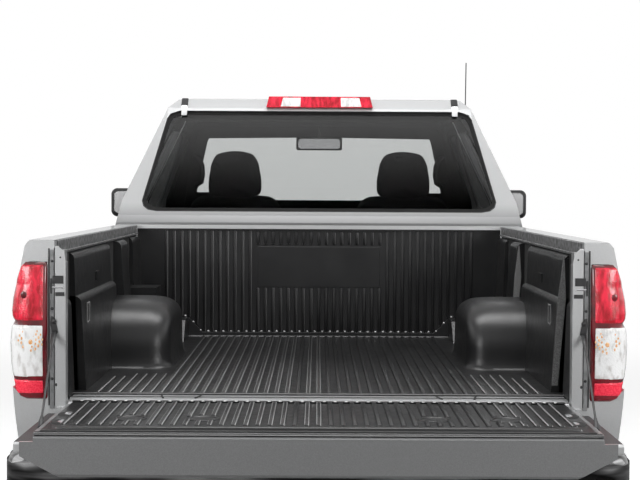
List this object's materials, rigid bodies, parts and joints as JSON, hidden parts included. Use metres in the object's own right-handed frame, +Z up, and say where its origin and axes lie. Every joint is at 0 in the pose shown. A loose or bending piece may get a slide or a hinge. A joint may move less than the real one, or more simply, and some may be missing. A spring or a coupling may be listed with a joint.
{
  "type": "pickup truck",
  "caption": "Four-wheel pickup truck with an extended cab, four opening doors, steering and a hinged tailgate that stands open.",
  "frame": {"origin": "on the ground under the middle of the truck's outline with the tailgate open", "axes": "+Y towards the front of the truck, +X to its right side, +Z up"},
  "size_m": [2.284, 5.63, 2.0928],
  "materials": {
    "paint": "metallic gloss",
    "chassis_steel": "satin",
    "black_plastic": "satin",
    "tinted_glass": "gloss",
    "lamp_red": "gloss",
    "lamp_clear": "gloss",
    "bright_metal": "polished",
    "bare_steel": "satin",
    "seat_cloth": "matte",
    "tyre_rubber": "matte",
    "wheel_alloy": "satin"
  },
  "bodies": {
    "truck": {"frame_rails": "chassis_steel", "cab_shell": "paint", "cab_floor": "paint", "windshield": "tinted_glass", "rear_glass": "tinted_glass", "bed_box": "paint", "bed_liner": "black_plastic", "tail_lamps": "lamp_red", "stop_lamp": "lamp_red", "tailgate_cables": "black_plastic", "front_wings": "paint", "headlamps": "lamp_clear", "grille": "bright_metal", "front_bumper": "paint", "rear_bumper": "bright_metal", "engine": "chassis_steel", "driveline": "chassis_steel", "rear_axle": "chassis_steel", "leaf_springs": "chassis_steel", "front_suspension": "chassis_steel", "exhaust": "bare_steel", "fuel_tank": "black_plastic", "spare_wheel": "tyre_rubber", "antenna": "black_plastic", "front_seats": "seat_cloth", "rear_seats": "seat_cloth", "dashboard": "black_plastic", "inner_mirror": "black_plastic"},
    "gate": {"tailgate": "paint", "tailgate_liner": "black_plastic"},
    "bonnet": {"hood": "paint"},
    "door_right": {"front_door_right": "paint", "front_glass_right": "tinted_glass", "door_mirror_right": "black_plastic"},
    "door_left": {"front_door_left": "paint", "front_glass_left": "tinted_glass", "door_mirror_left": "black_plastic"},
    "access_right": {"half_door_right": "paint", "half_glass_right": "tinted_glass"},
    "access_left": {"half_door_left": "paint", "half_glass_left": "tinted_glass"},
    "steering": {"steering_wheel": "black_plastic"},
    "upright_right": {"knuckle_right": "chassis_steel"},
    "upright_left": {"knuckle_left": "chassis_steel"},
    "wheel_front_right": {"tyre_front_right": "tyre_rubber", "rim_front_right": "wheel_alloy"},
    "wheel_front_left": {"tyre_front_left": "tyre_rubber", "rim_front_left": "wheel_alloy"},
    "wheel_rear_right": {"tyre_rear_right": "tyre_rubber", "rim_rear_right": "wheel_alloy"},
    "wheel_rear_left": {"tyre_rear_left": "tyre_rubber", "rim_rear_left": "wheel_alloy"}
  },
  "joints": [
    {"name": "tailgate_hinge", "type": "hinge", "parent": "truck", "child": "gate", "pos_m": [0, -2.297, 0.692], "axis": [-1, 0, 0], "range_deg": [0, 90], "deforming": ["tailgate_cables"]},
    {"name": "hood_hinge", "type": "hinge", "parent": "truck", "child": "bonnet", "pos_m": [0, 1.694, 1.116], "axis": [1, 0, 0], "range_deg": [0, 55]},
    {"name": "front_door_right_hinge", "type": "hinge", "parent": "truck", "child": "door_right", "pos_m": [0.884, 1.355, 0.85], "axis": [0, 0, 1], "range_deg": [0, 62]},
    {"name": "front_door_left_hinge", "type": "hinge", "parent": "truck", "child": "door_left", "pos_m": [-0.884, 1.355, 0.85], "axis": [0, 0, -1], "range_deg": [0, 62]},
    {"name": "access_door_right_hinge", "type": "hinge", "parent": "truck", "child": "access_right", "pos_m": [0.884, 0.005, 0.85], "axis": [0, 0, -1], "range_deg": [0, 80]},
    {"name": "access_door_left_hinge", "type": "hinge", "parent": "truck", "child": "access_left", "pos_m": [-0.884, 0.005, 0.85], "axis": [0, 0, 1], "range_deg": [0, 80]},
    {"name": "steer_left", "type": "hinge", "parent": "truck", "child": "upright_left", "pos_m": [-0.672, 1.995, 0.388], "axis": [0, 0, 1], "range_deg": [-33, 33]},
    {"name": "steer_right", "type": "hinge", "parent": "truck", "child": "upright_right", "pos_m": [0.672, 1.995, 0.388], "axis": [0, 0, 1], "range_deg": [-33, 33]},
    {"name": "steering_wheel_turn", "type": "hinge", "parent": "truck", "child": "steering", "pos_m": [-0.37, 1.055, 1.06], "axis": [0, -0.9135, 0.4067], "range_deg": [-528, 528]},
    {"name": "spin_front_right", "type": "hinge", "parent": "upright_right", "child": "wheel_front_right", "pos_m": [0.785, 1.995, 0.388], "axis": [1, 0, 0], "continuous": true},
    {"name": "spin_front_left", "type": "hinge", "parent": "upright_left", "child": "wheel_front_left", "pos_m": [-0.785, 1.995, 0.388], "axis": [1, 0, 0], "continuous": true},
    {"name": "spin_rear_right", "type": "hinge", "parent": "truck", "child": "wheel_rear_right", "pos_m": [0.785, -1.205, 0.388], "axis": [1, 0, 0], "continuous": true},
    {"name": "spin_rear_left", "type": "hinge", "parent": "truck", "child": "wheel_rear_left", "pos_m": [-0.785, -1.205, 0.388], "axis": [1, 0, 0], "continuous": true}
  ],
  "couplings": [
    {"joint": "steer_right", "follows": "steer_left", "ratio": 1},
    {"joint": "steering_wheel_turn", "follows": "steer_left", "ratio": 16}
  ]
}
